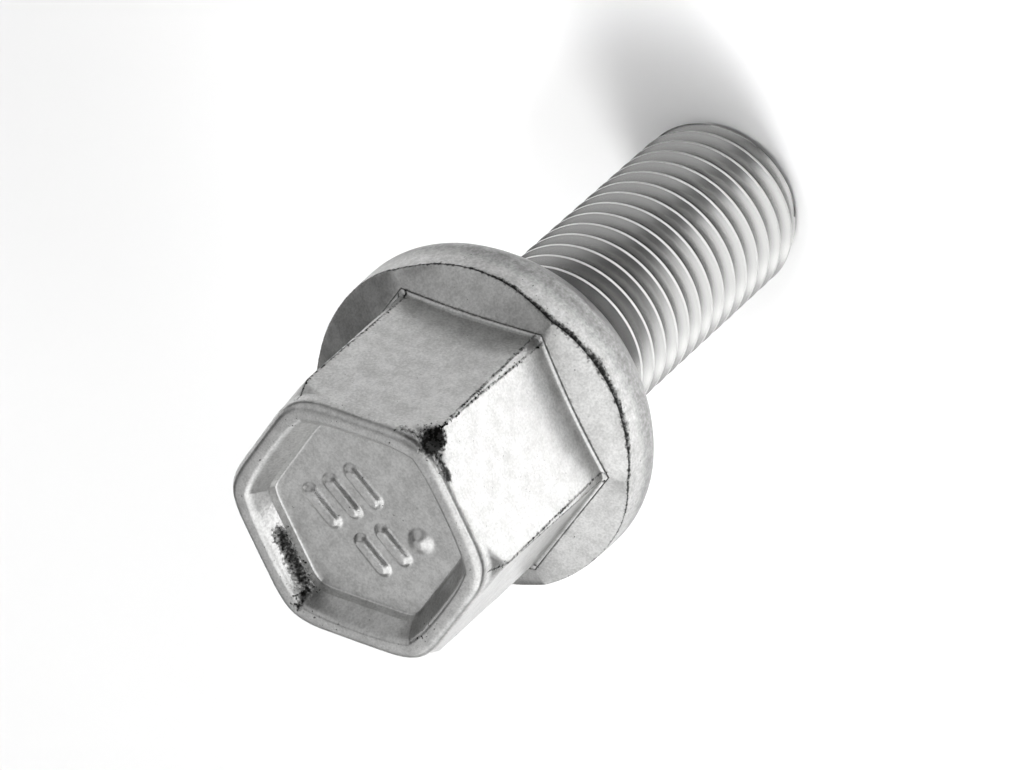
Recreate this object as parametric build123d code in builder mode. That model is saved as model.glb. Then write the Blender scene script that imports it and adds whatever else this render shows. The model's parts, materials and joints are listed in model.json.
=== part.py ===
from build123d import *

import os
from math import cos, radians, sqrt, tan

# Wheel bolt, forged in one piece: hex head with a dished end, round collar with a ball seat, threaded shank.
# It stands on its thread end: the axis is Z, the thread end is at z = 0 and the head is up.
# Sizes are in millimetres and angles in degrees.

# Shank, from the thread end up to the lower edge of the collar
thread_diameter = 12.0
thread_end_chamfer = 1.1
neck_step = 0.4             # the plain neck is this much inside the thread, as the blank was before rolling
neck_length = 2.0           # from the thread's run-out to the foot of the seat
run_out_angle = 30.0        # cone that leads from the thread to the neck
neck_fillet = 1.0
shank_length = 29.0

# Collar and ball seat
collar_lip = 1.37           # how far the collar stands out past the corners of the root line
collar_height = 2.75        # straight side of the collar, under the middle of a flat
collar_edge_fillet = 0.5
petal_slope = 20.0          # fall of the six facets on top of the collar
seat_crown = 1.7            # how much larger the ball's radius is than the collar's

# Hex head, above the root line where its foot meets the collar
across_flats = 16.85        # at the foot of the flats, for a 17 mm socket
head_height = 13.2
head_draft = 0.7
foot_height = 1.4           # the flats sweep outwards over this height above the root line
foot_width = 0.18           # and by this much
corner_trim = 0.08          # taken off the sharp corners of the flats, which leaves narrow lands
corner_cone_angle = 26.0    # steep cone that rounds the corners off near the end
corner_cone_cut = 0.9       # how much that cone takes off the corners at the end
rim_fillet = 1.0

# Dished end of the head
rim_width = 1.25            # from a flat to the edge of the sloping rim, at the end
rim_slope_depth = 1.2       # the rim slopes in to this depth
rim_slope_angle = 36.5      # from the axis
rim_edge_fillet = 0.3
recess_depth = 1.7          # the wall below the rim goes down to this depth
recess_wall_angle = 12.5    # from the axis
recess_corner_fillet = 0.4  # at the floor, and wider above it, as the outline widens
wall_edge_fillet = 0.2
recess_floor_fillet = 0.16

HEX_SIDES = 6
FLAT_TO_CORNER = 1 / cos(radians(180 / HEX_SIDES))

# Distances from the axis that follow from these
thread_radius = thread_diameter / 2
neck_radius = thread_radius - neck_step
flat_foot = across_flats / 2
flat_lean = tan(radians(head_draft))
flat_end = flat_foot - (head_height - foot_height) * flat_lean
root_apothem = flat_foot + foot_width
root_corner = root_apothem * FLAT_TO_CORNER
corner_radius = flat_foot * FLAT_TO_CORNER - corner_trim
collar_radius = root_corner + collar_lip
ball_radius = collar_radius + seat_crown
cone_end_radius = flat_end * FLAT_TO_CORNER - corner_cone_cut
rim_edge_apothem = flat_end - rim_width
wall_apothem = rim_edge_apothem - rim_slope_depth * tan(radians(rim_slope_angle))
recess_floor_apothem = wall_apothem - (recess_depth - rim_slope_depth) * tan(radians(recess_wall_angle))

# Heights
ball_centre_z = shank_length + sqrt(ball_radius**2 - collar_radius**2)
seat_foot_z = ball_centre_z - sqrt(ball_radius**2 - neck_radius**2)
neck_z = seat_foot_z - neck_length
last_turn_z = neck_z - neck_step / tan(radians(run_out_angle))
petal_fall = tan(radians(petal_slope))
root_z = shank_length + collar_height + (collar_radius - root_apothem) * petal_fall
foot_z = root_z + foot_height
head_end_z = root_z + head_height
cone_start_z = head_end_z - (corner_radius - cone_end_radius) / tan(radians(corner_cone_angle))
wall_z = head_end_z - rim_slope_depth
recess_floor_z = head_end_z - recess_depth
recess_sections = [
    (rim_edge_apothem, head_end_z),
    (wall_apothem, wall_z),
    (recess_floor_apothem, recess_floor_z),
]

# The section of the flats is drawn wider than the collar, which the turned outline then trims.
section_edge = collar_radius + collar_lip
section_edge_z = root_z - (section_edge - root_apothem) * petal_fall

with BuildPart() as wheel_bolt:
    # One section makes two opposite flats: collar facet, crisp root line, swept foot and drafted flat.
    # Three of them, a sixth of a turn apart, cross to leave the hex head, its foot and the creased facets.
    for pair in range(HEX_SIDES // 2):
        across = Plane.XZ.rotated((0, 0, (pair + 0.5) * 360 / HEX_SIDES))
        with BuildSketch(across.offset(-section_edge)):
            with BuildLine():
                Polyline(
                    (0, shank_length),
                    (section_edge, shank_length),
                    (section_edge, section_edge_z),
                    (root_apothem, root_z),
                )
                TangentArc((flat_foot, foot_z), (root_apothem, root_z), tangent=(flat_lean, -1))
                Polyline((flat_foot, foot_z), (flat_end, head_end_z), (0, head_end_z), (0, shank_length))
            make_face()
            mirror(about=Plane.YZ)
        extrude(amount=2 * section_edge, mode=Mode.INTERSECT if pair else Mode.ADD)

    # The turned outline trims the collar round, the hex corners to narrow lands and the end to a cone.
    with BuildSketch(Plane.XZ):
        with BuildLine():
            Polyline(
                (0, shank_length),
                (collar_radius, shank_length),
                (collar_radius, root_z + corner_trim),
                (root_corner + corner_trim, root_z + corner_trim),
                (corner_radius, foot_z),
                (corner_radius, cone_start_z),
                (cone_end_radius, head_end_z),
                (0, head_end_z),
                close=True,
            )
        make_face()
    revolve(axis=Axis.Z, mode=Mode.INTERSECT)
    fillet(wheel_bolt.faces().sort_by(Axis.Z)[-1].edges(), rim_fillet)

    # Shank with its chamfered end and thinner neck, and the ball seat that spreads from it to the collar.
    with BuildSketch(Plane.XZ) as shank_section:
        with BuildLine():
            Polyline(
                (collar_radius, shank_length),
                (0, shank_length),
                (0, 0),
                (thread_radius - thread_end_chamfer, 0),
                (thread_radius, thread_end_chamfer),
                (thread_radius, last_turn_z),
                (neck_radius, neck_z),
                (neck_radius, seat_foot_z),
            )
            RadiusArc((neck_radius, seat_foot_z), (collar_radius, shank_length), -ball_radius)
        make_face()
        fillet(shank_section.vertices().sort_by_distance((neck_radius, seat_foot_z))[0], neck_fillet)
    revolve(axis=Axis.Z)
    near_seat = shank_length - collar_edge_fillet, shank_length + collar_edge_fillet
    seat_edge = wheel_bolt.edges().filter_by(GeomType.CIRCLE).filter_by_position(Axis.Z, *near_seat)
    fillet(seat_edge, collar_edge_fillet)

    # Dished end: a six-sided recess, parallel to the head, with a steep wall below a wide sloping rim.
    for apothem, height in recess_sections:
        with BuildSketch(Plane.XY.offset(height)) as outline:
            RegularPolygon(apothem, HEX_SIDES, major_radius=False)
            fillet(outline.vertices(), recess_corner_fillet + apothem - recess_floor_apothem)
    loft(ruled=True, mode=Mode.SUBTRACT)
    wall_edge = wheel_bolt.edges(Select.LAST).group_by(Axis.Z)[2]
    fillet(wall_edge, wall_edge_fillet)
    recess_floor = wheel_bolt.faces().filter_by(Plane.XY).sort_by(Axis.Z)[-2]
    fillet(recess_floor.edges(), recess_floor_fillet)
    rim_face = wheel_bolt.faces().sort_by(Axis.Z)[-1]
    fillet(rim_face.inner_wires()[0].edges(), rim_edge_fillet)

wheel_bolt.part.label = "wheel_bolt"
os.makedirs("parts", exist_ok=True)
export_step(wheel_bolt.part, "parts/wheel_bolt.step")
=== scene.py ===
"""Looks of a zinc-plated wheel bolt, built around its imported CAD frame.

The bolt stands on its thread end with its axis on Z and a corner of the hexagon on +X. Sizes are in
millimetres, and meshes are in metres, as the frame is.
"""

import json
import logging
import math
from dataclasses import dataclass, field
from enum import Enum
from functools import partial
from typing import Any

import bpy
import numpy as np
from mathutils import Matrix, Vector

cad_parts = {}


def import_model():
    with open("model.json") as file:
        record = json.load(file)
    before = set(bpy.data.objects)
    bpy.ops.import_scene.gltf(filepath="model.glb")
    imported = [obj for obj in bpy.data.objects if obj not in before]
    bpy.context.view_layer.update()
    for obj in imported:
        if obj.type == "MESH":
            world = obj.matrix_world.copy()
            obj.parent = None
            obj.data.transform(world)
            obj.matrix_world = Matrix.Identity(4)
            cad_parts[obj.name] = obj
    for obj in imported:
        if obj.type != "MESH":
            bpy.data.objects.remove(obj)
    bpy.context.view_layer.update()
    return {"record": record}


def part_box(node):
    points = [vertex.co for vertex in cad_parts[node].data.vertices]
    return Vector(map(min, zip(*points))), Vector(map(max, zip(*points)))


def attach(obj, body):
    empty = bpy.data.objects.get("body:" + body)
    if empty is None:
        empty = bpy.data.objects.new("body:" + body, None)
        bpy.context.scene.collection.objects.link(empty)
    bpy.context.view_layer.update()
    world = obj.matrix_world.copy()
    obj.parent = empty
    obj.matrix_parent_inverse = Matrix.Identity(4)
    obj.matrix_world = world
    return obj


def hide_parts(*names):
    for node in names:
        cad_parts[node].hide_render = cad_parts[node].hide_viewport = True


LOG = logging.getLogger("wheel_bolt")
MM = 0.001
FULL_TURN = 2 * math.pi
HEX_SIDES = 6
SECTOR = FULL_TURN / HEX_SIDES
FLAT_TO_CORNER = 1 / math.cos(SECTOR / 2)
WELD_DISTANCE = 2e-6
IMAGE_WIDTH = 1024
IMAGE_HEIGHT = 770
SENSOR_WIDTH = 36.0
AIM_HEIGHT = 33.4
SRGB_STEPS = 255
SRGB_KNEE = 0.04045
SRGB_SLOPE = 12.92
SRGB_OFFSET = 0.055
SRGB_POWER = 2.4

Outline = list[tuple[float, float]]


class Zone(Enum):
    """Places of the forging shown differently, some with painted shade, each stored as an attribute of the
    mesh.
    """

    CREST = "crest"
    ROOT = "root"
    FOLD = "fold"
    CORNER = "corner"
    DRUM = "drum"
    SEAT = "seat"
    PITTED = "pitted"


def linear_colour(code: str) -> tuple[float, float, float, float]:
    """Turn an sRGB hex colour into linear light.

    Args:
        code: six hex digits.

    Returns:
        Linear red, green, blue and an alpha of 1.
    """
    linear = []
    for start in (0, 2, 4):
        share = int(code[start:start + 2], 16) / SRGB_STEPS
        curved = ((share + SRGB_OFFSET) / (1 + SRGB_OFFSET)) ** SRGB_POWER
        linear.append(curved if share > SRGB_KNEE else share / SRGB_SLOPE)
    return linear[0], linear[1], linear[2], 1.0


def add_node(
    tree: bpy.types.NodeTree,
    kind: str,
    inputs: dict[Any, Any] | None = None,
    output: int | str = 0,
    **settings: Any,
) -> bpy.types.NodeSocket | None:
    """Add a node to a tree with its settings, values and links.

    Args:
        tree: the node tree.
        kind: the node's type name.
        inputs: values or output sockets by input name or index.
        output: name or index of the output that is wanted.
        settings: attributes of the node.

    Returns:
        That output of the new node, or nothing for a node that ends the tree.
    """
    node = tree.nodes.new(kind)
    for name, value in settings.items():
        setattr(node, name, value)
    for key, value in (inputs or {}).items():
        if isinstance(value, bpy.types.NodeSocket):
            tree.links.new(value, node.inputs[key])
        else:
            node.inputs[key].default_value = value
    return node.outputs[output] if node.outputs else None


def soft_min(one: np.ndarray, other: np.ndarray, reach: float) -> np.ndarray:
    """Return the smaller of two arrays, rounded where they cross within a reach."""
    share = np.clip(0.5 + 0.5 * (other - one) / reach, 0, 1)
    return other + (one - other) * share - reach * share * (1 - share)


def smooth_step(low: float, high: float, value: np.ndarray) -> np.ndarray:
    """Rise smoothly from 0 at low to 1 at high."""
    share = np.clip((value - low) / (high - low), 0, 1)
    return share * share * (3 - 2 * share)


def rounded_path(points: Outline, radii: list[float], steps: int) -> Outline:
    """Round the inner corners of an open path with arcs.

    Args:
        points: corners of the path.
        radii: radius at each inner corner.
        steps: points on each arc.

    Returns:
        Points of the rounded path.
    """
    path = [points[0]]
    for before, corner, after, radius in zip(points, points[1:], points[2:], radii):
        into = (Vector(corner) - Vector(before)).normalized()
        away = (Vector(after) - Vector(corner)).normalized()
        turn = into.angle_signed(away)
        reach = radius * math.tan(abs(turn) / 2)
        start = Vector(corner) - into * reach
        side = math.copysign(1, -turn)
        centre = start + Vector((-into.y, into.x)) * radius * side
        spoke = start - centre
        for step in range(steps):
            angle = -turn * step / (steps - 1)
            path.append(tuple(centre + Matrix.Rotation(angle, 2) @ spoke))
    path.append(points[-1])
    return path


@dataclass
class Columns:
    """Directions round the axis in which every ring has a point, closer together at the hexagon's corners."""

    count: int = 240
    crowding: float = 0.6
    angle: np.ndarray = field(init=False)
    off_flat: np.ndarray = field(init=False)

    def __post_init__(self) -> None:
        """Work out the directions and their angles from the middle of the nearest flat."""
        even = FULL_TURN * np.arange(self.count) / self.count
        self.angle = even - self.crowding / HEX_SIDES * np.sin(HEX_SIDES * even)
        self.off_flat = np.mod(self.angle, SECTOR) - SECTOR / 2

    def even(self, value: float) -> np.ndarray:
        """Return the same value in every direction."""
        return np.full(self.count, value)

    def flats(self, apothem: np.ndarray | float) -> np.ndarray:
        """Return the distances from the axis of a hexagon with sharp corners."""
        return apothem / np.cos(self.off_flat)

    def hexagon(self, apothem: float, corner_cut: float, reach: float) -> np.ndarray:
        """Return the distances from the axis of a hexagon whose corners are cut and rounded.

        Args:
            apothem: distance of its flats from the axis.
            corner_cut: how much the corners lose.
            reach: softness of the rounding.

        Returns:
            One distance for each direction.
        """
        return soft_min(self.flats(apothem), self.even(apothem * FLAT_TO_CORNER - corner_cut), reach)

    def bow(self) -> np.ndarray:
        """Return 1 in the middle of each flat, falling to 0 at the corners."""
        return 1 - (self.off_flat / (SECTOR / 2)) ** 2

    def nearness(self, azimuth: float, reach: float) -> np.ndarray:
        """Return 1 at an azimuth, falling smoothly to 0 at a reach from it, both in degrees."""
        away = np.abs(np.mod(np.degrees(self.angle) - azimuth + 180, 360) - 180)
        return smooth_step(reach, 0, away)


@dataclass
class Rings:
    """Closed rows of points round the axis, one after another along the surface."""

    columns: Columns
    radius: list[np.ndarray] = field(default_factory=list)
    height: list[np.ndarray] = field(default_factory=list)
    line_rows: dict[Zone, int] = field(default_factory=dict)

    def add(self, radius: np.ndarray | float, height: np.ndarray | float, line: Zone | None = None) -> None:
        """Add a ring.

        Args:
            radius: distance of its points from the axis.
            height: height of its points.
            line: the zone whose line the ring is, if any.
        """
        if line is not None:
            self.line_rows[line] = len(self.radius)
        self.radius.append(np.broadcast_to(radius, self.columns.count))
        self.height.append(np.broadcast_to(height, self.columns.count))

    def run(self) -> np.ndarray:
        """Return the length of surface from the first ring to each ring, in each direction."""
        across = np.diff(np.array(self.radius), axis=0)
        down = np.diff(np.array(self.height), axis=0)
        return np.concatenate([np.zeros((1, self.columns.count)), np.cumsum(np.hypot(across, down), axis=0)])

    def nearness(self, line: Zone, reach: np.ndarray | float) -> np.ndarray:
        """Return 1 on a line, falling straight to 0 at a reach from it."""
        run = self.run()
        return np.clip(1 - np.abs(run - run[self.line_rows[line]]) / reach, 0, 1)

    def points(self) -> np.ndarray:
        """Return the points of all rings, by ring and direction."""
        radius = np.array(self.radius)
        x = radius * np.cos(self.columns.angle)
        y = radius * np.sin(self.columns.angle)
        return np.stack([x, y, np.array(self.height)], axis=-1)

    def mesh(self, name: str, pole_first: bool, pole_height: float) -> bpy.types.Mesh:
        """Make a mesh of the rings, closed at one end by a pole on the axis.

        Args:
            name: name of the mesh.
            pole_first: whether the pole comes before the first ring or after the last.
            pole_height: height of the pole.

        Returns:
            The mesh, in metres, with faces that point outwards.
        """
        rows, count = len(self.radius), self.columns.count
        points = np.vstack([self.points().reshape(-1, 3), [0, 0, pole_height]])
        index = np.arange(rows * count).reshape(rows, count)
        onward = np.roll(index, -1, axis=1)
        quads = np.stack([index[:-1], index[1:], onward[1:], onward[:-1]], axis=-1).reshape(-1, 4)
        one, other = (index[0], onward[0]) if pole_first else (onward[-1], index[-1])
        fan = [(rows * count, int(a), int(b)) for a, b in zip(one, other)]
        mesh = bpy.data.meshes.new(name)
        mesh.from_pydata((points * MM).tolist(), [], quads.tolist() + fan)
        return mesh


@dataclass(frozen=True)
class RaisedMark:
    """A raised bar or dot on the recess floor, such as dies leave to tell their cavities apart."""

    across: float
    above: float
    length: float
    width: float
    slant: float = 8.0
    reading_azimuth: float = -20.0
    rise: float = 0.32
    edge: float = 0.42

    def height_at(self, x: np.ndarray, y: np.ndarray) -> np.ndarray:
        """Return how far the mark rises above the floor.

        Args:
            x: first coordinates of points of the floor.
            y: their second coordinates.

        Returns:
            The rise at each point.
        """
        reading = math.radians(self.reading_azimuth)
        u = x * math.cos(reading) + y * math.sin(reading) - self.across
        v = y * math.cos(reading) - x * math.sin(reading) - self.above
        lean = math.radians(self.slant)
        along = v * math.cos(lean) - u * math.sin(lean)
        aside = u * math.cos(lean) + v * math.sin(lean)
        past_end = np.maximum(np.abs(along) - self.length / 2, 0)
        inside = self.width / 2 - np.hypot(past_end, aside)
        return self.rise * smooth_step(-self.edge / 2, self.edge / 2, inside)


@dataclass(frozen=True)
class PitPatch:
    """A place where the forging is badly pitted: a line from one point to another and how far it reaches.

    The heights of both points are measured from the head's end, so they are below 0. Within its core a
    patch is fully pitted.
    """

    start: tuple[float, float, float]
    end: tuple[float, float, float]
    reach: float
    core: float = 0.0

    def nearness(self, points: np.ndarray, head_end: float) -> np.ndarray:
        """Return 1 in the core of the patch, falling straight to 0 at its edge.

        Args:
            points: points of the surface.
            head_end: height of the head's end.

        Returns:
            One value for each point.
        """
        start = np.array(self.start) + (0, 0, head_end)
        along = np.array(self.end) - np.array(self.start)
        share = np.clip((points - start) @ along / (along @ along), 0, 1)
        away = np.linalg.norm(points - start - share[..., None] * along, axis=-1)
        return np.clip((self.reach - away) / (self.reach - self.core), 0, 1)


@dataclass
class ForgedBlank:
    """Head, collar, seat and neck of the bolt as the forging dies leave them, and its flat thread end."""

    columns: Columns
    head_end: float
    collar_radius: float
    end_face_radius: float
    neck_radius: float
    neck_start: float

    # Dished end
    recess_floor: float = 5.96
    recess_depth: float = 1.7
    floor_margin: float = 0.3
    floor_fillet: float = 0.16
    wall_apothem: float = 6.14
    wall_drop: float = 1.2
    wall_fillet: float = 0.2
    rim_slope: float = math.tan(math.radians(50))
    crest_apothem: float = 7.4
    rim_height: float = 1.0
    rim_squareness: float = 3.6
    floor_corner_cut: float = 0.1
    floor_corner_reach: float = 0.4
    crest_corner_cut: float = 0.36
    crest_corner_reach: float = 1.3
    floor_rings: int = 50
    first_ring: float = 0.02
    fillet_rings: int = 6
    slope_rings: int = 5
    roll_rings: int = 7
    rim_rings: int = 13

    # Flats and corners
    flat_foot: float = 8.425
    foot_top: float = 34.13
    flat_lean: float = math.tan(math.radians(0.7))
    corner_radius: float = 9.58
    corner_reach: float = 0.02
    corner_edge: float = 0.14
    cone_end: float = 8.54
    cone_lean: float = math.tan(math.radians(26))
    cone_reach: float = 0.28
    cone_soft: float = 2.2
    end_reach: float = 0.8
    cone_rings: int = 12
    flat_rings: int = 14

    # Root line and foot
    root_apothem: float = 8.6
    root_height: float = 32.45
    root_bow: float = 0.28
    root_lip: float = 0.07
    root_groove: float = 0.08
    foot_reach: float = 0.6
    foot_bow: float = 0.75
    foot_flare: float = 0.28
    foot_turn: int = 16
    foot_rings: int = 16
    foot_crowding: float = 0.6

    # Facets and fold of the collar
    collar_top: float = 31.75
    petal_fall: float = 0.326
    lip_inset: float = 0.06
    fold_gape: float = 0.13
    fold_wide: float = 0.3
    fold_wide_azimuth: float = -20.0
    fold_wide_reach: float = 60.0
    fold_unevenness: float = 0.25
    fold_ripples: tuple[int, int] = (23, 5)
    fold_section: tuple[tuple[float, float], ...] = ((0.25, 0.3), (0.6, 0.55), (0.2, 0.8))
    fold_wander: float = 0.05
    wander_ripples: tuple[int, int, int] = (7, 12, 3)
    wander_start: float = 1.0
    wander_onset: int = 6
    facet_shares: tuple[float, ...] = (0.0, 0.08, 0.25, 0.45, 0.65, 0.8, 0.92, 1.0)
    side_rings: int = 7

    # Seat, neck and thread end
    collar_low: float = 29.0
    collar_edge_reach: float = 0.3
    collar_edge_height: float = 0.7
    edge_rings: int = 10
    seat_crown: float = 1.7
    seat_rings: int = 14
    neck_fillet: float = 1.0
    neck_edge_share: float = 0.75
    neck_drop_share: float = 0.8
    neck_rings: int = 7
    end_shares: tuple[float, ...] = (1.0, 0.7, 0.4, 0.15)

    # Extent of the zones
    crest_zone: float = 0.7
    root_zone: float = 0.3
    fold_zone: float = 2.2
    drum_fade: float = 1.0
    # Painted shade on the ball seat grows from none at the first of these heights to full at the second,
    # lower one.
    seat_shade_start: float = 30.9
    seat_shade_full: float = 29.6

    def side(self, height: np.ndarray | float) -> np.ndarray:
        """Return the distance of the flats and trimmed corners from the axis at a height.

        Args:
            height: one height, or one for each direction.

        Returns:
            One distance for each direction.
        """
        flats = self.columns.flats(self.flat_foot - (height - self.foot_top) * self.flat_lean)
        cone = self.cone_end + (self.head_end - height) * self.cone_lean
        trimmed = soft_min(cone, self.columns.even(self.corner_radius), self.cone_reach)
        softness = smooth_step(self.head_end - self.cone_soft, self.head_end, np.asarray(height))
        return soft_min(flats, trimmed, self.corner_reach + (self.end_reach - self.corner_reach) * softness)

    def inner_outline(self, apothem: float) -> np.ndarray:
        """Return an outline between recess floor and crest, with corners that get rounder towards the crest.

        Args:
            apothem: distance of its sides from the axis.

        Returns:
            One distance for each direction.
        """
        share = (apothem - self.recess_floor) / (self.crest_apothem - self.recess_floor)
        cut = self.floor_corner_cut + (self.crest_corner_cut - self.floor_corner_cut) * share
        reach = self.floor_corner_reach + (self.crest_corner_reach - self.floor_corner_reach) * share
        return self.columns.hexagon(apothem, cut, reach)

    def add_recess(self, rings: Rings, marks: list[RaisedMark]) -> None:
        """Add the recess floor with its raised marks, from the axis out.

        Args:
            rings: the rings to add to.
            marks: the raised marks.
        """
        floor_height = self.head_end - self.recess_depth
        edge = self.inner_outline(self.recess_floor - self.floor_margin)
        for share in np.linspace(self.first_ring, 1, self.floor_rings):
            radius = edge * share
            x = radius * np.cos(self.columns.angle)
            y = radius * np.sin(self.columns.angle)
            raised = np.maximum.reduce([mark.height_at(x, y) for mark in marks])
            rings.add(radius, floor_height + raised)

    def add_rim(self, rings: Rings) -> None:
        """Add the steep recess wall, the sloping rim that rolls over into a crest, and the outer edge.

        Args:
            rings: the rings to add to.
        """
        floor_height = self.head_end - self.recess_depth
        roll = 2 * (self.crest_apothem - self.wall_apothem - self.wall_drop / self.rim_slope)
        roll_drop = self.rim_slope * roll / 2
        corners = [
            (self.recess_floor - self.floor_margin, floor_height),
            (self.recess_floor, floor_height),
            (self.wall_apothem, self.head_end - self.wall_drop),
            (self.crest_apothem - roll, self.head_end - roll_drop),
        ]
        path = rounded_path(corners, [self.floor_fillet, self.wall_fillet], self.fillet_rings)
        slope_rows = np.linspace(path[-2], path[-1], self.slope_rings)[1:]
        for apothem, height in [*path[1:-1], *slope_rows]:
            rings.add(self.inner_outline(apothem), height)
        for share in np.linspace(0, 1, self.roll_rings)[1:-1]:
            drop = roll_drop * (1 - share) ** 2
            rings.add(self.inner_outline(self.crest_apothem - roll * (1 - share)), self.head_end - drop)
        crest = self.inner_outline(self.crest_apothem)
        shoulder = self.side(self.head_end - self.rim_height)
        power = 2 / self.rim_squareness
        for turn in np.linspace(0, math.pi / 2, self.rim_rings):
            drop = self.rim_height * (1 - max(math.cos(turn), 0) ** power)
            line = None if turn else Zone.CREST
            rings.add(crest + (shoulder - crest) * math.sin(turn) ** power, self.head_end - drop, line)

    def add_flats(self, rings: Rings) -> None:
        """Add the flats with their rounded-off corners, down to the swept foot and its root line.

        Args:
            rings: the rings to add to.
        """
        top = self.head_end - self.rim_height
        cone_foot = self.head_end - (self.corner_radius - self.cone_end) / self.cone_lean - self.cone_reach
        cone_rows = np.linspace(top, cone_foot, self.cone_rings)[1:]
        flat_rows = np.linspace(cone_foot, self.foot_top, self.flat_rings)[1:]
        for height in [*cone_rows, *flat_rows]:
            rings.add(self.side(height), height)
        bow = self.columns.bow()
        root = self.root_height + self.root_bow * bow + self.root_lip
        reach = self.foot_reach + self.foot_bow * bow
        spread = self.columns.flats(self.root_apothem) - self.side(root)
        for share in np.linspace(0, 1, self.foot_rings)[1:] ** self.foot_crowding:
            height = self.foot_top + (root - self.foot_top) * share
            depth = np.clip(1 - (height - root) / reach, 0, 1)
            sweep = spread * (self.foot_flare * depth**2 + (1 - self.foot_flare) * depth**self.foot_turn)
            rings.add(self.side(height) + sweep, height)

    def petal_height(self, radius: np.ndarray) -> np.ndarray:
        """Return the height of the six sloping facets on top of the collar.

        Args:
            radius: distances from the axis, one for each direction.

        Returns:
            One height for each direction.
        """
        inset = self.collar_radius - radius * np.cos(self.columns.off_flat)
        facet = self.collar_top + inset * self.petal_fall
        root = self.columns.flats(self.root_apothem)
        inward = (self.collar_radius - radius) / (self.collar_radius - root)
        at_root = self.collar_top + (self.collar_radius - self.root_apothem) * self.petal_fall
        bowed = self.root_height + self.root_bow * self.columns.bow() - at_root
        return facet + bowed * np.clip(inward, 0, 1)

    def fold_opening(self) -> np.ndarray:
        """Return how wide the forging fold at the collar's edge stands open, one width for each direction."""
        wide = self.columns.nearness(self.fold_wide_azimuth, self.fold_wide_reach)
        quick, slow = self.fold_ripples
        ripple = np.sin(quick * self.columns.angle) * np.sin(slow * self.columns.angle)
        return (self.fold_gape + self.fold_wide * wide) * (1 + self.fold_unevenness * ripple)

    def wander(self) -> np.ndarray:
        """Return how the fold strays up and down on its way round the collar.

        Returns:
            One value about 0 for each direction.
        """
        slow, quick, beat = self.wander_ripples
        angle = self.columns.angle
        return np.sin(slow * angle + self.wander_start) + np.sin(quick * angle) * np.cos(beat * angle)

    def add_collar(self, rings: Rings) -> None:
        """Add the root groove, the facets, the fold at their outer edge and the side of the collar.

        Args:
            rings: the rings to add to.
        """
        root = self.columns.flats(self.root_apothem)
        root_height = self.petal_height(root)
        lip_edge = root + self.root_lip
        rings.add(lip_edge, root_height + self.root_lip / 2)
        rings.add(lip_edge + self.root_groove / 2, root_height - self.root_groove, Zone.ROOT)
        start = lip_edge + self.root_groove
        outer = self.collar_radius - self.lip_inset
        stray = self.fold_wander * self.wander()
        for share in self.facet_shares:
            radius = start + (outer - start) * share
            rings.add(radius, self.petal_height(radius) + stray * share**self.wander_onset)
        edge_height = self.petal_height(self.columns.even(outer)) + stray
        gape = self.fold_opening()
        for (inward, down), line in zip(self.fold_section, (None, Zone.FOLD, None)):
            rings.add(outer - inward * gape, edge_height - down * gape, line)
        side_top = edge_height - gape
        side_low = self.collar_low + self.collar_edge_height
        for share in np.linspace(0, 1, self.side_rings):
            belly = self.lip_inset * (1 - share) ** 2
            rings.add(self.collar_radius - belly, side_top + (side_low - side_top) * share)

    def add_seat(self, rings: Rings) -> None:
        """Add the soft lower edge of the collar, the ball seat and the neck.

        Args:
            rings: the rings to add to.
        """
        ball = self.collar_radius + self.seat_crown
        centre = self.collar_low + math.sqrt(ball**2 - self.collar_radius**2)
        edge_top = self.collar_low + self.collar_edge_height
        edge_foot = self.collar_low - self.collar_edge_height
        for height in np.linspace(edge_top, edge_foot, self.edge_rings)[1:]:
            on_ball = math.sqrt(ball**2 - (centre - height) ** 2)
            radius = soft_min(np.array(self.collar_radius), np.array(on_ball), self.collar_edge_reach)
            rings.add(float(radius), height)
        start = math.asin((centre - edge_foot) / ball)
        neck_edge = self.neck_radius + self.neck_fillet * self.neck_edge_share
        for turn in np.linspace(start, math.acos(neck_edge / ball), self.seat_rings)[1:]:
            rings.add(ball * math.cos(turn), centre - ball * math.sin(turn))
        seat_foot = centre - math.sqrt(ball**2 - neck_edge**2)
        drop = self.neck_fillet * self.neck_drop_share
        for turn in np.linspace(0, math.pi / 2, self.neck_rings)[1:]:
            across = neck_edge - (neck_edge - self.neck_radius) * math.sin(turn)
            rings.add(across, seat_foot - drop * (1 - math.cos(turn)))
        rings.add(self.neck_radius, self.neck_start)

    def zones(self, rings: Rings, patches: list[PitPatch]) -> dict[Zone, np.ndarray]:
        """Work out how strongly each point belongs to each zone.

        Args:
            rings: all rings of the forging.
            patches: the pitted places.

        Returns:
            Values from 0 to 1 for each zone, by ring and direction.
        """
        points = rings.points()
        heights = points[..., 2]
        radius = np.array(rings.radius)
        flats = self.columns.flats(self.flat_foot - (heights - self.foot_top) * self.flat_lean)
        past_corner = flats - self.corner_radius
        on_flats = (heights > self.root_height) & (heights < self.head_end - self.rim_height / 2)
        on_flats &= radius > self.crest_apothem
        below_fold = np.arange(len(radius))[:, None] > rings.line_rows[Zone.FOLD]
        drum = smooth_step(self.neck_start, self.neck_start + self.drum_fade, heights)
        # Mask of the painted shade on the ball seat, growing downwards.
        seat = smooth_step(self.seat_shade_start, self.seat_shade_full, heights)
        return {
            Zone.CREST: rings.nearness(Zone.CREST, self.crest_zone),
            Zone.ROOT: rings.nearness(Zone.ROOT, self.root_zone),
            Zone.FOLD: rings.nearness(Zone.FOLD, self.fold_zone * self.fold_opening()),
            Zone.CORNER: np.where(on_flats, np.clip(1 - np.abs(past_corner) / self.corner_edge, 0, 1), 0),
            Zone.DRUM: np.where(below_fold, drum, 0),
            Zone.SEAT: np.where(below_fold, seat, 0),
            Zone.PITTED: np.maximum.reduce([patch.nearness(points, self.head_end) for patch in patches]),
        }

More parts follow.
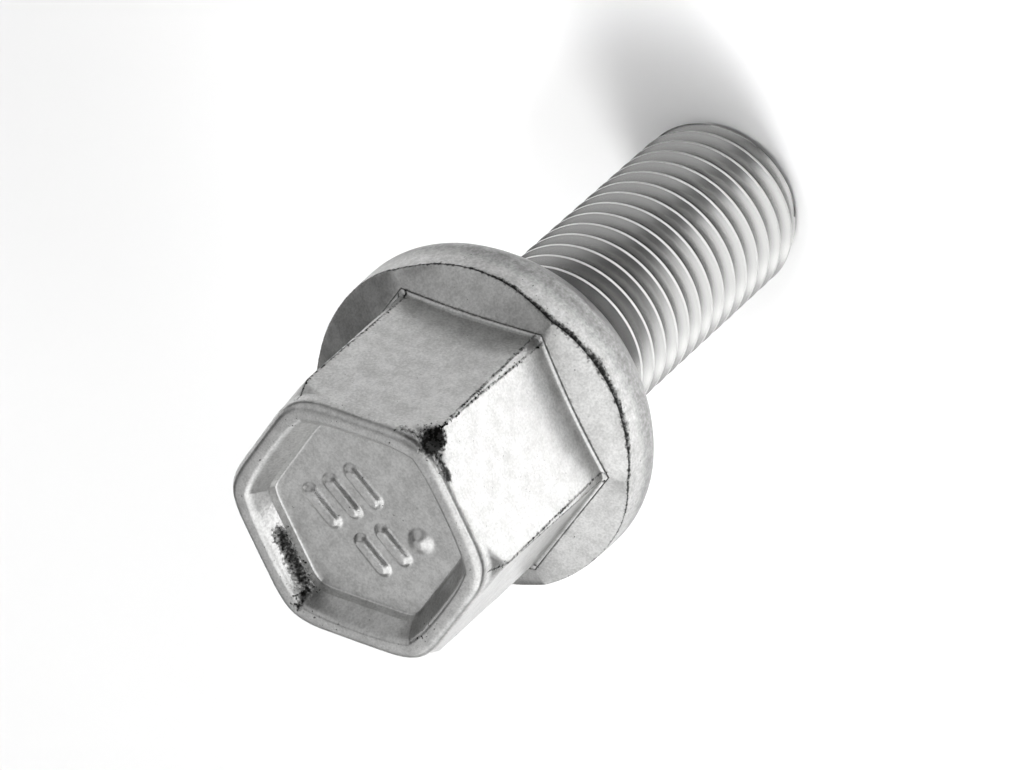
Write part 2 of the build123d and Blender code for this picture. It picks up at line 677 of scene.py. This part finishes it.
    def head_mesh(self, marks: list[RaisedMark], patches: list[PitPatch]) -> bpy.types.Mesh:
        """Make the forging from the recess floor down to the start of the thread.

        Args:
            marks: raised marks on the recess floor.
            patches: the pitted places.

        Returns:
            The mesh, open at the neck, with one attribute for each zone.
        """
        rings = Rings(self.columns)
        self.add_recess(rings, marks)
        self.add_rim(rings)
        self.add_flats(rings)
        self.add_collar(rings)
        self.add_seat(rings)
        mesh = rings.mesh("forged_head", True, self.head_end - self.recess_depth)
        for zone, value in self.zones(rings, patches).items():
            attribute = mesh.attributes.new(zone.value, "FLOAT", "POINT")
            attribute.data.foreach_set("value", np.append(value.ravel(), 0.0).astype(np.float32))
        return mesh

    def end_mesh(self) -> bpy.types.Mesh:
        """Make the flat face at the thread end, open at its edge."""
        rings = Rings(self.columns)
        for share in self.end_shares:
            rings.add(self.end_face_radius * share, 0.0)
        return rings.mesh("thread_end_face", False, 0.0)


@dataclass
class RolledThread:
    """Right-hand thread, rolled on the shank from its end up to a run-out at the neck.

    Its ridges have a narrow flat crest and straight flanks at about 60 degrees to each other, and the
    grooves between them have a narrow flat root.
    """

    columns: Columns
    crest_radius: float
    end_face_radius: float
    neck_radius: float
    length: float
    pitch: float = 1.5
    depth: float = 0.86
    crest_share: float = 0.125
    root_share: float = 0.8
    run_out: float = 0.8
    first_turn: float = 1.27
    end_round: float = 1.3
    rows_per_pitch: int = 14

    def node_tree(self, values: dict[str, Any]) -> bpy.types.NodeTree:
        """Build the Geometry Nodes tree that winds a helical grid into the thread.

        Args:
            values: sizes in metres, counts and the material, by the names of the tree's inputs.

        Returns:
            The tree, with an input for each value.
        """
        tree = bpy.data.node_groups.new("rolled_thread", "GeometryNodeTree")
        kinds = {float: "NodeSocketFloat", int: "NodeSocketInt", bpy.types.Material: "NodeSocketMaterial"}
        for name, value in values.items():
            tree.interface.new_socket(name, in_out="INPUT", socket_type=kinds[type(value)])
        tree.interface.new_socket("Geometry", in_out="OUTPUT", socket_type="NodeSocketGeometry")
        add = partial(add_node, tree)
        sizes = add("NodeGroupInput").node.outputs

        # A grid of one turn by many turns, each point of which knows its angle and its winding.
        grid_inputs = {
            "Size X": 1.0,
            "Size Y": sizes["Turns"],
            "Vertices X": add("ShaderNodeMath", {0: sizes["Columns"], 1: 1.0}, operation="ADD"),
            "Vertices Y": sizes["Rows"],
        }
        grid = add("GeometryNodeMeshGrid", grid_inputs, output="Mesh")
        place = add("ShaderNodeSeparateXYZ", {0: add("GeometryNodeInputPosition")}).node.outputs
        winding = add("ShaderNodeMath", {0: sizes["Turns"], 1: 0.5, 2: place["Y"]}, operation="MULTIPLY_ADD")
        turned = add("ShaderNodeMath", {0: place["X"], 1: 0.5}, operation="ADD")
        even = add("ShaderNodeMath", {0: turned, 1: FULL_TURN}, operation="MULTIPLY")
        sixfold = add("ShaderNodeMath", {0: even, 1: float(HEX_SIDES)}, operation="MULTIPLY")
        ripple = add("ShaderNodeMath", {0: sixfold}, operation="SINE")
        crowd = add("ShaderNodeMath", {0: sizes["Crowding"], 1: -1.0 / HEX_SIDES}, operation="MULTIPLY")
        angle = add("ShaderNodeMath", {0: crowd, 1: ripple, 2: even}, operation="MULTIPLY_ADD")

        # Each winding climbs by one pitch, and stops at the ends of the thread.
        turn = add("ShaderNodeMath", {0: angle, 1: 1 / FULL_TURN, 2: winding}, operation="MULTIPLY_ADD")
        lowered = add("ShaderNodeMath", {0: turn, 1: sizes["First Turn"]}, operation="SUBTRACT")
        climb = add("ShaderNodeMath", {0: lowered, 1: sizes["Pitch"]}, operation="MULTIPLY")
        height = add("ShaderNodeClamp", {"Value": climb, "Min": 0.0, "Max": sizes["Length"]})

        # The profile of a ridge, which fades into the neck at the run-out.
        phase = add("ShaderNodeMath", {0: winding}, operation="FRACT")
        swing = add("ShaderNodeMath", {0: phase, 1: 2.0, 2: -1.0}, operation="MULTIPLY_ADD")
        flank_inputs = {
            "Value": add("ShaderNodeMath", {0: swing}, operation="ABSOLUTE"),
            "From Min": sizes["Crest Share"],
            "From Max": sizes["Root Share"],
            "To Min": sizes["Crest Radius"],
            "To Max": sizes["Root Radius"],
        }
        flank = add("ShaderNodeMapRange", flank_inputs)
        fade_start = add("ShaderNodeMath", {0: sizes["Length"], 1: sizes["Run-out"]}, operation="SUBTRACT")
        fade_inputs = {"Value": height, "From Min": fade_start, "From Max": sizes["Length"]}
        fade = add("ShaderNodeMapRange", fade_inputs, interpolation_type="SMOOTHSTEP")
        ridge_inputs = {"Factor": fade, "A": flank, "B": sizes["Neck Radius"]}
        ridge = add("ShaderNodeMix", ridge_inputs, output="Result")

        # The end is rounded off by a quarter of an ellipse.
        climbed = add("ShaderNodeMath", {0: height, 1: sizes["End Round"]}, operation="DIVIDE")
        up_share = add("ShaderNodeClamp", {"Value": climbed})
        left = add("ShaderNodeMath", {0: 1.0, 1: up_share}, operation="SUBTRACT")
        left_square = add("ShaderNodeMath", {0: left, 1: left}, operation="MULTIPLY")
        out_square = add("ShaderNodeMath", {0: 1.0, 1: left_square}, operation="SUBTRACT")
        out_share = add("ShaderNodeMath", {0: out_square}, operation="SQRT")
        width_inputs = {0: sizes["Crest Radius"], 1: sizes["End Radius"]}
        width = add("ShaderNodeMath", width_inputs, operation="SUBTRACT")
        limit_inputs = {0: width, 1: out_share, 2: sizes["End Radius"]}
        limit = add("ShaderNodeMath", limit_inputs, operation="MULTIPLY_ADD")
        radius = add("ShaderNodeMath", {0: ridge, 1: limit}, operation="MINIMUM")

        cosine = add("ShaderNodeMath", {0: angle}, operation="COSINE")
        sine = add("ShaderNodeMath", {0: angle}, operation="SINE")
        point_inputs = {
            "X": add("ShaderNodeMath", {0: radius, 1: cosine}, operation="MULTIPLY"),
            "Y": add("ShaderNodeMath", {0: radius, 1: sine}, operation="MULTIPLY"),
            "Z": height,
        }
        wound_inputs = {"Geometry": grid, "Position": add("ShaderNodeCombineXYZ", point_inputs)}
        wound = add("GeometryNodeSetPosition", wound_inputs)
        closed = add("GeometryNodeMergeByDistance", {"Geometry": wound, "Distance": WELD_DISTANCE})
        real = add("GeometryNodeRealizeInstances", {"Geometry": closed})
        dressed = add("GeometryNodeSetMaterial", {"Geometry": real, "Material": sizes["Material"]})
        add("NodeGroupOutput", {"Geometry": dressed})
        return tree

    def mesh(self, material: bpy.types.Material) -> bpy.types.Mesh:
        """Wind the thread and turn it into a plain mesh.

        Args:
            material: finish of the thread.

        Returns:
            The mesh, open at both ends.
        """
        turns = math.ceil(self.length / self.pitch + self.first_turn)
        values = {
            "Pitch": self.pitch * MM,
            "Crest Radius": self.crest_radius * MM,
            "Root Radius": (self.crest_radius - self.depth) * MM,
            "Neck Radius": self.neck_radius * MM,
            "End Radius": self.end_face_radius * MM,
            "End Round": self.end_round * MM,
            "Length": self.length * MM,
            "Run-out": self.run_out * MM,
            "First Turn": self.first_turn,
            "Turns": float(turns),
            "Crowding": self.columns.crowding,
            "Crest Share": self.crest_share,
            "Root Share": self.root_share,
            "Columns": self.columns.count,
            "Rows": turns * self.rows_per_pitch + 1,
            "Material": material,
        }
        carrier = bpy.data.objects.new("thread_carrier", bpy.data.meshes.new("thread_carrier"))
        bpy.context.scene.collection.objects.link(carrier)
        modifier = carrier.modifiers.new("thread", "NODES")
        modifier.node_group = self.node_tree(values)
        for item in modifier.node_group.interface.items_tree:
            if item.in_out == "INPUT":
                modifier[item.identifier] = values[item.name]
        graph = bpy.context.evaluated_depsgraph_get()
        mesh = bpy.data.meshes.new_from_object(carrier.evaluated_get(graph))
        carrier.modifiers.remove(modifier)
        bpy.data.objects.remove(carrier)
        return mesh


@dataclass(frozen=True)
class DirtAndShadeMark:
    """How dirt and painted shade darken a zone: where they start and are full, how dark they get and how
    ragged.
    """

    zone: Zone
    start: float
    full: float
    darkness: float
    raggedness: float = 1.0


@dataclass(frozen=True)
class ZincPlate:
    """Bright zinc plating on a cold-forged steel bolt.

    The eye sees a neutral satin metal: soft wide reflections, a fine grey grain, small dark pits, dirt along
    the corners of the head, dirt and painted shade in the fold of the collar and at the root of the head, and
    painted shade in the thread's grooves and on the ball seat under the collar.
    """

    light: str = "E0E0DF"
    dull: str = "B4B4B3"
    # Colour of dirt and pits, and of the painted shade in the fold, the root, the grooves and on the seat.
    dirt_and_shade: str = "161615"
    forged_roughness: float = 0.32
    thread_roughness: float = 0.26
    drum_roughness: float = 0.08
    grime_and_shade_roughness: float = 0.3
    roughness_spread: float = 0.14
    noise_roughness: float = 0.6
    mottle_size: float = 1.1
    grain_size: float = 0.16
    pit_size: float = 0.22
    patch_size: float = 2.6
    scratch_size: float = 0.35
    dent_size: float = 2.2
    dent_height: float = 0.02
    grain_height: float = 0.008
    pit_depth: float = 0.03
    thread_top: float = 22.9
    thread_tone: float = 0.3
    # Painted shade in the thread's grooves, deepest at the root.
    groove_top: float = 5.75
    groove_foot: float = 5.15
    groove_painted_shade: float = 0.42
    drum_dullness: float = 0.15
    # Painted shade on the ball seat under the collar.
    seat_painted_shade: float = 0.38
    scuff_spread: float = 0.1
    scuff_start: float = 0.35
    scuff_full: float = 0.65
    tone_start: float = 0.55
    tone_full: float = 1.45
    forged_fade: float = 1.0

    # Pits and dirt
    pit_start: float = 0.86
    pit_full: float = 0.93
    pit_patchiness: float = 0.3
    crest_pits: float = 0.06
    corner_pits: float = 0.2
    drum_pits: float = 0.02
    patch_pits: float = 0.18
    thread_pits: float = -0.2
    ragged_gain: float = 1.3
    dirt_and_shade_marks: tuple[DirtAndShadeMark, ...] = (
        # The fold and the root get dirt and painted shade; the corners and the pitted places get dirt.
        DirtAndShadeMark(Zone.FOLD, start=0.4, full=0.9, darkness=0.88),
        DirtAndShadeMark(Zone.ROOT, start=0.6, full=0.95, darkness=0.35),
        DirtAndShadeMark(Zone.CORNER, start=0.5, full=1.0, darkness=0.75),
        DirtAndShadeMark(Zone.PITTED, start=0.4, full=0.9, darkness=0.94, raggedness=0.8),
    )

    def material(self) -> bpy.types.Material:
        """Build the plating's node material.

        Returns:
            The material.
        """
        material = bpy.data.materials.new("bright_zinc_plate")
        material.use_nodes = True
        tree = material.node_tree
        tree.nodes.clear()
        add = partial(add_node, tree)
        place = add("ShaderNodeTexCoord", output="Object")
        zones = {zone: add("ShaderNodeAttribute", output="Fac", attribute_name=zone.value) for zone in Zone}

        # The thread is told from the forging by its height, and its grooves by their distance from the axis,
        # which sets the painted shade in the grooves, darkest at their root.
        spot = add("ShaderNodeSeparateXYZ", {0: place}).node.outputs
        forged_inputs = {
            "Value": spot["Z"],
            "From Min": self.thread_top * MM,
            "From Max": (self.thread_top + self.forged_fade) * MM,
        }
        forged = add("ShaderNodeMapRange", forged_inputs, interpolation_type="SMOOTHSTEP")
        threaded = add("ShaderNodeMath", {0: 1.0, 1: forged}, operation="SUBTRACT")
        sideways = add("ShaderNodeCombineXYZ", {"X": spot["X"], "Y": spot["Y"]})
        groove_inputs = {
            "Value": add("ShaderNodeVectorMath", {0: sideways}, output="Value", operation="LENGTH"),
            "From Min": self.groove_top * MM,
            "From Max": self.groove_foot * MM,
            "To Max": self.groove_painted_shade,
        }
        groove_depth = add("ShaderNodeMapRange", groove_inputs)
        groove = add("ShaderNodeMath", {0: groove_depth, 1: threaded}, operation="MULTIPLY")

        # Patterns of the plated surface, from dents down to grain.
        noises = {}
        sizes = {
            "dents": (self.dent_size, 1.0),
            "patches": (self.patch_size, 2.0),
            "mottle": (self.mottle_size, 4.0),
            "pits": (self.pit_size, 3.0),
            "grain": (self.grain_size, 2.0),
            "scratches": (self.scratch_size, 3.0),
        }
        for name, (size, detail) in sizes.items():
            inputs = {
                "Vector": place,
                "Scale": 1 / (size * MM),
                "Detail": detail,
                "Roughness": self.noise_roughness,
            }
            noises[name] = add("ShaderNodeTexNoise", inputs)

        # Dark pits come in patches, more of them at the crest, the corners and the badly pitted places.
        pit_level = noises["pits"]
        pit_weights = (
            (noises["patches"], self.pit_patchiness),
            (zones[Zone.CREST], self.crest_pits),
            (zones[Zone.CORNER], self.corner_pits),
            (zones[Zone.DRUM], self.drum_pits),
            (zones[Zone.PITTED], self.patch_pits),
            (threaded, self.thread_pits),
        )
        for part, weight in pit_weights:
            pit_level = add("ShaderNodeMath", {0: part, 1: weight, 2: pit_level}, operation="MULTIPLY_ADD")
        pit_inputs = {"Value": pit_level, "From Min": self.pit_start, "From Max": self.pit_full}
        grime_and_shade = add("ShaderNodeMapRange", pit_inputs, interpolation_type="SMOOTHSTEP")

        # Dirt and painted shade have ragged edges, which the pits' noise moves to and fro.
        ragged_inputs = {0: noises["pits"], 1: self.ragged_gain, 2: -self.ragged_gain / 2}
        ragged = add("ShaderNodeMath", ragged_inputs, operation="MULTIPLY_ADD")
        for mark in self.dirt_and_shade_marks:
            edge_inputs = {0: ragged, 1: mark.raggedness, 2: zones[mark.zone]}
            dirt_and_shade_inputs = {
                "Value": add("ShaderNodeMath", edge_inputs, operation="MULTIPLY_ADD"),
                "From Min": mark.start,
                "From Max": mark.full,
                "To Max": mark.darkness,
            }
            dirt_and_shade = add("ShaderNodeMapRange", dirt_and_shade_inputs, interpolation_type="SMOOTHSTEP")
            grime_and_shade = add("ShaderNodeMath", {0: grime_and_shade, 1: dirt_and_shade}, operation="MAXIMUM")

        # The tone varies with the mottle and the grain. The side of the collar is duller and scuffed. Painted
        # shade darkens the ball seat towards its bottom and the thread's grooves towards their root.
        blotches = add("ShaderNodeMath", {0: noises["mottle"], 1: noises["grain"]}, operation="ADD")
        tone_inputs = {"Value": blotches, "From Min": self.tone_start, "From Max": self.tone_full}
        tone = add("ShaderNodeMapRange", tone_inputs, interpolation_type="SMOOTHSTEP")
        tone = add("ShaderNodeMix", {"Factor": threaded, "A": tone, "B": self.thread_tone}, output="Result")
        plate_inputs = {"Factor": tone, "A": linear_colour(self.dull), "B": linear_colour(self.light)}
        plate = add("ShaderNodeMix", plate_inputs, output="Result", data_type="RGBA")
        scuff_inputs = {
            "Value": noises["scratches"],
            "From Min": self.scuff_start,
            "From Max": self.scuff_full,
            "To Min": self.drum_dullness + self.scuff_spread,
            "To Max": self.drum_dullness - self.scuff_spread,
        }
        scuffs = add("ShaderNodeMapRange", scuff_inputs)
        drum_wear = add("ShaderNodeMath", {0: scuffs, 1: zones[Zone.DRUM]}, operation="MULTIPLY")
        # Painted shade on the seat is added to the scuffs, and painted shade in the grooves joins them.
        seat_inputs = {0: zones[Zone.SEAT], 1: self.seat_painted_shade, 2: drum_wear}
        scuffs_and_seat_shade = add("ShaderNodeMath", seat_inputs, operation="MULTIPLY_ADD")
        wear_and_shade = add("ShaderNodeMath", {0: scuffs_and_seat_shade, 1: groove}, operation="MAXIMUM")
        worn_inputs = {"Factor": wear_and_shade, "A": plate, "B": linear_colour(self.dirt_and_shade)}
        worn_and_shaded = add("ShaderNodeMix", worn_inputs, output="Result", data_type="RGBA")
        coat_inputs = {"Factor": grime_and_shade, "A": worn_and_shaded, "B": linear_colour(self.dirt_and_shade)}
        coat = add("ShaderNodeMix", coat_inputs, output="Result", data_type="RGBA")

        # The rolled thread is smoother than the forging, and the side of the collar is rougher.
        mottled = add("ShaderNodeMath", {0: noises["mottle"], 1: forged}, operation="MULTIPLY")
        rough = add("ShaderNodeMath", {0: mottled, 1: self.roughness_spread}, operation="MULTIPLY")
        rough_parts = (
            (forged, self.forged_roughness - self.thread_roughness - self.roughness_spread / 2),
            (zones[Zone.DRUM], self.drum_roughness),
            (grime_and_shade, self.grime_and_shade_roughness),
            (1.0, self.thread_roughness),
        )
        for part, weight in rough_parts:
            rough = add("ShaderNodeMath", {0: part, 1: weight, 2: rough}, operation="MULTIPLY_ADD")

        dents = add("ShaderNodeMath", {0: noises["dents"], 1: self.dent_height}, operation="MULTIPLY")
        grain_inputs = {0: noises["grain"], 1: self.grain_height, 2: dents}
        grained = add("ShaderNodeMath", grain_inputs, operation="MULTIPLY_ADD")
        smoothed = add("ShaderNodeMath", {0: grained, 1: forged}, operation="MULTIPLY")
        relief = add("ShaderNodeMath", {0: grime_and_shade, 1: -self.pit_depth, 2: smoothed}, operation="MULTIPLY_ADD")
        bump = add("ShaderNodeBump", {"Height": relief, "Distance": MM, "Strength": 1.0})

        shader_inputs = {"Base Color": coat, "Metallic": 1.0, "Roughness": rough, "Normal": bump}
        shader = add("ShaderNodeBsdfPrincipled", shader_inputs)
        add("ShaderNodeOutputMaterial", {"Surface": shader})
        return material


@dataclass
class WheelBolt:
    """The whole bolt: forging and thread joined into one closed mesh that stands for the CAD node."""

    node: str
    thread_radius: float
    marks: list[RaisedMark]
    patches: list[PitPatch]
    finish: ZincPlate = field(default_factory=ZincPlate)
    thread_length: float = 22.9
    neck_radius: float = 5.55
    end_face_radius: float = 4.9
    crest_allowance: float = 0.05
    smooth_angle: float = math.radians(35)

    def build(self) -> bpy.types.Object:
        """Build and dress the bolt.

        Returns:
            The finished piece, riding on the root body.
        """
        _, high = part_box(self.node)
        columns = Columns()
        material = self.finish.material()
        blank = ForgedBlank(
            columns=columns,
            head_end=high.z / MM,
            collar_radius=high.x / MM,
            end_face_radius=self.end_face_radius,
            neck_radius=self.neck_radius,
            neck_start=self.thread_length,
        )
        thread = RolledThread(
            columns=columns,
            crest_radius=self.thread_radius - self.crest_allowance,
            end_face_radius=self.end_face_radius,
            neck_radius=self.neck_radius,
            length=self.thread_length,
        )
        meshes = [blank.head_mesh(self.marks, self.patches), thread.mesh(material), blank.end_mesh()]
        piece = self.join(meshes, material)
        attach(piece, "root")
        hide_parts(self.node)
        return piece

    def join(self, meshes: list[bpy.types.Mesh], material: bpy.types.Material) -> bpy.types.Object:
        """Join meshes that meet in rings into one closed piece.

        Args:
            meshes: the meshes, in the frame's metres.
            material: the finish of them all.

        Returns:
            The piece at the origin.
        """
        objects = []
        for mesh in meshes:
            mesh.materials.clear()
            mesh.materials.append(material)
            part = bpy.data.objects.new(mesh.name, mesh)
            bpy.context.scene.collection.objects.link(part)
            objects.append(part)
        piece = objects[0]
        piece.name = "plated_wheel_bolt"
        with bpy.context.temp_override(active_object=piece, selected_editable_objects=objects):
            bpy.ops.object.join()
        weld = piece.modifiers.new("weld", "WELD")
        weld.merge_threshold = WELD_DISTANCE
        graph = bpy.context.evaluated_depsgraph_get()
        piece.data = bpy.data.meshes.new_from_object(piece.evaluated_get(graph))
        piece.modifiers.remove(weld)
        piece.data.name = piece.name
        piece.data.shade_smooth()
        piece.data.set_sharp_from_angle(angle=self.smooth_angle)
        return piece


@dataclass(frozen=True)
class SoftBox:
    """A square studio lamp that faces a target from a direction."""

    name: str
    azimuth: float
    elevation: float
    side: float
    radiance: float
    distance: float = 320.0
    target: tuple[float, float, float] = (0.0, 0.0, AIM_HEIGHT)
    spread: float = 180.0
    shows_in_metal: bool = True

    def hang(self) -> None:
        """Hang the lamp and aim it."""
        around, up = math.radians(self.azimuth), math.radians(self.elevation)
        away = Vector((math.cos(around) * math.cos(up), math.sin(around) * math.cos(up), math.sin(up)))
        lamp = bpy.data.lights.new(self.name, "AREA")
        lamp.shape = "SQUARE"
        lamp.size = self.side * MM
        lamp.energy = self.radiance * math.pi * lamp.size**2
        lamp.spread = math.radians(self.spread)
        holder = bpy.data.objects.new(self.name, lamp)
        facing = away.to_track_quat("Z", "Y").to_matrix().to_4x4()
        holder.matrix_world = Matrix.Translation((Vector(self.target) + away * self.distance) * MM) @ facing
        holder.visible_glossy = self.shows_in_metal
        bpy.context.scene.collection.objects.link(holder)


@dataclass
class Studio:
    """Pale floor, soft lamps and the camera at the photograph's angle."""

    floor_colour: str = "F2F2F2"
    floor_roughness: float = 0.9
    floor_half: float = 3000.0
    sky_colour: str = "FFFFFF"
    horizon_rise: float = 0.15
    horizon_level: float = 0.02
    zenith_rise: float = 0.9
    zenith_level: float = 0.14
    lamps: tuple[SoftBox, ...] = (
        SoftBox("key_softbox", azimuth=262, elevation=54, side=400, radiance=1.35),
        SoftBox("fill_card", azimuth=182, elevation=36, side=300, radiance=0.5),
        SoftBox("far_card", azimuth=86, elevation=44, side=350, radiance=0.46),
        SoftBox("side_card", azimuth=222, elevation=20, side=220, radiance=0.7),
        SoftBox("low_card", azimuth=134, elevation=7, side=110, radiance=1.0),
        SoftBox("low_right_card", azimuth=315, elevation=8, side=110, radiance=0.45),
        SoftBox("low_far_card", azimuth=56, elevation=14, side=120, radiance=0.35),
        SoftBox("edge_strip", azimuth=313, elevation=33, side=70, radiance=4.5),
        SoftBox(
            "floor_lamp", azimuth=240, elevation=40, side=160, radiance=1.0, distance=350,
            target=(-28.0, 2.0, 0.0), spread=50, shows_in_metal=False,
        ),
        SoftBox(
            "shadow_lamp", azimuth=75, elevation=65, side=40, radiance=0.36, distance=150,
            target=(-2.0, 17.0, 0.0), spread=24, shows_in_metal=False,
        ),
        SoftBox(
            "right_pool", azimuth=0, elevation=90, side=60, radiance=2.7, distance=250,
            target=(31.0, -37.0, 0.0), spread=32, shows_in_metal=False,
        ),
        SoftBox(
            "left_pool", azimuth=0, elevation=90, side=80, radiance=1.0, distance=300,
            target=(-106.0, 106.0, 0.0), spread=50, shows_in_metal=False,
        ),
    )
    toward: Vector = field(default_factory=lambda: Vector((0.6795, -0.0895, 0.7281)))
    right: Vector = field(default_factory=lambda: Vector((0.4482, -0.7350, -0.5086)))
    up: Vector = field(default_factory=lambda: Vector((0.5806, 0.6720, -0.4594)))
    camera_distance: float = 460.0
    pixels_per_mm: float = 16.13
    aim_x: float = 460.88
    aim_y: float = 437.33
    clip_start: float = 10.0

    def build(self) -> None:
        """Set up the floor, the light and the camera."""
        self.lay_floor()
        self.light()
        self.place_camera()

    def lay_floor(self) -> None:
        """Lay a wide pale floor under the bolt."""
        half = self.floor_half * MM
        mesh = bpy.data.meshes.new("floor")
        corners = [(-half, -half, 0), (half, -half, 0), (half, half, 0), (-half, half, 0)]
        mesh.from_pydata(corners, [], [(0, 1, 2, 3)])
        material = bpy.data.materials.new("matt_white_floor")
        material.use_nodes = True
        shader = material.node_tree.nodes["Principled BSDF"]
        shader.inputs["Base Color"].default_value = linear_colour(self.floor_colour)
        shader.inputs["Roughness"].default_value = self.floor_roughness
        shader.inputs["Specular IOR Level"].default_value = 0.0
        mesh.materials.append(material)
        floor = bpy.data.objects.new("floor", mesh)
        bpy.context.scene.collection.objects.link(floor)

    def light(self) -> None:
        """Light the room dimly, more from above than from the sides, and hang the lamps."""
        world = bpy.data.worlds.new("studio")
        world.use_nodes = True
        tree = world.node_tree
        toward = add_node(tree, "ShaderNodeTexCoord", output="Generated")
        dome_inputs = {
            "Value": add_node(tree, "ShaderNodeSeparateXYZ", {0: toward}, output="Z"),
            "From Min": self.horizon_rise,
            "From Max": self.zenith_rise,
            "To Min": self.horizon_level,
            "To Max": self.zenith_level,
        }
        dome = add_node(tree, "ShaderNodeMapRange", dome_inputs, interpolation_type="SMOOTHSTEP")
        tree.links.new(dome, tree.nodes["Background"].inputs["Strength"])
        tree.nodes["Background"].inputs["Color"].default_value = linear_colour(self.sky_colour)
        scene = bpy.context.scene
        scene.world = world
        scene.view_settings.view_transform = "Standard"
        for lamp in self.lamps:
            lamp.hang()

    def place_camera(self) -> None:
        """Place the camera so that the aim point falls on its pixel of the photograph."""
        across = (IMAGE_WIDTH / 2 - self.aim_x) / self.pixels_per_mm
        above = (self.aim_y - IMAGE_HEIGHT / 2) / self.pixels_per_mm
        centre = Vector((0, 0, AIM_HEIGHT)) + self.right * across + self.up * above
        place = (centre + self.toward * self.camera_distance) * MM
        lens = bpy.data.cameras.new("camera")
        lens.sensor_width = SENSOR_WIDTH
        lens.lens = self.pixels_per_mm * self.camera_distance * SENSOR_WIDTH / IMAGE_WIDTH
        lens.clip_start = self.clip_start * MM
        camera = bpy.data.objects.new("camera", lens)
        axes = Matrix((self.right, self.up, self.toward)).transposed().to_4x4()
        camera.matrix_world = Matrix.Translation(place) @ axes
        bpy.context.scene.collection.objects.link(camera)
        bpy.context.scene.camera = camera


def shank_radius(record: dict[str, Any]) -> float:
    """Return the outer radius of the thread in millimetres, from the record's thread mount."""
    return next(mount["dims"]["r_mm"] for mount in record["mounts"] if mount["name"] == "thread_shank")


def die_marks() -> list[RaisedMark]:
    """Place the raised marks of the recess floor: a row of bars, and under it a shorter row with a dome.

    Returns:
        The marks.
    """
    bars = [RaisedMark(across, above=2.0, length=2.2, width=0.9) for across in (-2.7, -0.8, 1.1)]
    bars += [RaisedMark(across, above=-2.1, length=2.0, width=0.9) for across in (-1.4, 0.5)]
    dome = RaisedMark(across=2.6, above=-2.6, length=0.0, width=1.2, edge=0.9)
    return [*bars, dome]


def pit_patches() -> list[PitPatch]:
    """Place the pitted patches: two on the recess slope, and a spot with two tails at a corner of the head.

    Returns:
        The patches.
    """
    return [
        PitPatch(start=(-5.25, 3.75, -0.95), end=(-7.15, 0.45, -0.95), reach=1.1),
        PitPatch(start=(-7.2, 0.3, -0.7), end=(-8.0, 0.0, -0.1), reach=0.75),
        PitPatch(start=(9.1, 0.1, -1.0), end=(8.9, -0.1, -1.7), reach=1.5),
        PitPatch(start=(9.05, -0.3, -0.85), end=(9.05, -0.2, -1.35), reach=1.3, core=0.5),
        PitPatch(start=(8.9, 0.4, -0.75), end=(8.4, 1.6, -0.65), reach=0.7),
        PitPatch(start=(8.9, -0.5, -0.75), end=(8.1, -2.4, -0.6), reach=0.65, core=0.1),
    ]


def main() -> None:
    """Build the bolt and the studio."""
    logging.basicConfig(level=logging.INFO, format="%(name)s: %(message)s")
    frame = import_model()
    bolt = WheelBolt("wheel_bolt", shank_radius(frame["record"]), die_marks(), pit_patches())
    piece = bolt.build()
    LOG.info("%s: %d faces", piece.name, len(piece.data.polygons))
    Studio().build()
    LOG.info("studio ready")


if __name__ == "__main__":
    main()
